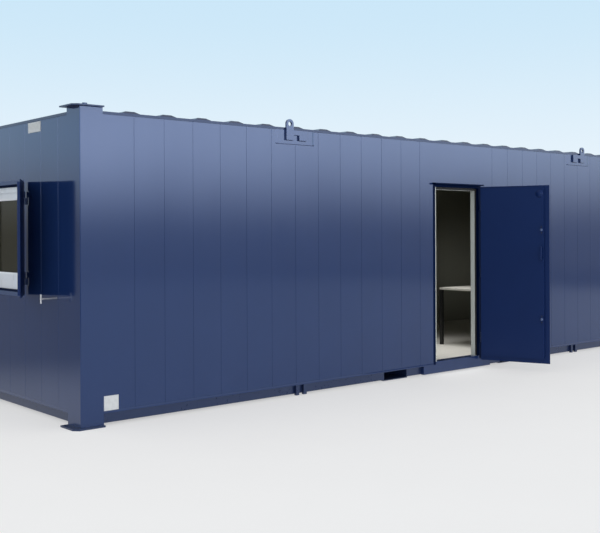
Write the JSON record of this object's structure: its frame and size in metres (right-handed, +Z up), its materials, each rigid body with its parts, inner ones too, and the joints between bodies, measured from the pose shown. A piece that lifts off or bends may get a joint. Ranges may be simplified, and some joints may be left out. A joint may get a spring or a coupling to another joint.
{
  "type": "portable site cabin",
  "caption": "Long steel site cabin with corner posts, grooved walls, ribbed roof, lifting lugs, fork pockets, a hinged door and shuttered end windows.",
  "frame": {"origin": "outer corner of the front left corner post, on the ground", "axes": "+X along the front wall to the right, +Y to the back, +Z up"},
  "size_m": [10.1713, 4.0377, 2.7699],
  "materials": {
    "wall_paint": "satin navy paint on steel sheet",
    "frame_paint": "satin navy paint on steel sections",
    "door_paint": "satin navy paint on steel plate",
    "trim_paint": "dull dark navy paint on folded steel",
    "zinc": "bare zinc coating",
    "white_plastic": "white window plastic",
    "lining_board": "pale faced lining board",
    "inner_frame": "pale painted timber",
    "floor_board": "plywood",
    "floor_vinyl": "vinyl sheet",
    "glass": "dark reflecting glass",
    "table_board": "faced board",
    "table_steel": "dark painted tube"
  },
  "bodies": {
    "cabin": {"corner_posts": "wall_paint", "post_plates": "frame_paint", "stacking_pins": "wall_paint", "side_base_rails": "frame_paint", "end_base_rails": "frame_paint", "fork_pocket_floors": "frame_paint", "fork_pocket_cheeks": "frame_paint", "rail_brackets": "frame_paint", "floor_joists": "frame_paint", "floor_deck": "floor_board", "floor_covering": "floor_vinyl", "front_wall_left": "wall_paint", "front_wall_right": "wall_paint", "front_wall_over_door": "wall_paint", "back_wall": "wall_paint", "left_end_wall": "wall_paint", "right_end_wall": "wall_paint", "front_lining": "lining_board", "back_lining": "lining_board", "end_linings": "lining_board", "top_rails": "frame_paint", "roof_sheet": "frame_paint", "ceiling_panel": "lining_board", "lug_doublers": "wall_paint", "lifting_lugs": "wall_paint", "door_sill": "wall_paint", "door_frame": "trim_paint", "door_inner_frame": "inner_frame", "door_rain_strip": "trim_paint", "hinge_seats": "frame_paint", "window_surrounds": "trim_paint", "window_frames": "white_plastic", "window_glass": "glass", "right_shutters": "door_paint", "right_shutter_seats": "frame_paint", "hold_back_bolts": "zinc", "table_top": "table_board", "table_legs": "table_steel"},
    "door": {"door_leaf": "door_paint", "door_hinge_straps": "frame_paint", "door_bolt_cover": "door_paint", "door_locks": "door_paint", "door_pulls": "door_paint"},
    "left_shutter_front": {"left_shutter_front": "door_paint"},
    "left_shutter_back": {"left_shutter_back": "door_paint"}
  },
  "joints": [
    {"name": "door_hinge", "type": "hinge", "parent": "cabin", "child": "door", "pos_m": [5.279, -0.012, 1.15], "axis": [0, 0, 1], "range_deg": [-110, 60]},
    {"name": "left_shutter_front_hinge", "type": "hinge", "parent": "cabin", "child": "left_shutter_front", "pos_m": [-0.005, 1.07, 1.6], "axis": [0, 0, 1], "range_deg": [-152, 18]},
    {"name": "left_shutter_back_hinge", "type": "hinge", "parent": "cabin", "child": "left_shutter_back", "pos_m": [-0.005, 2.14, 1.6], "axis": [0, 0, -1], "range_deg": [-152, 18]}
  ]
}
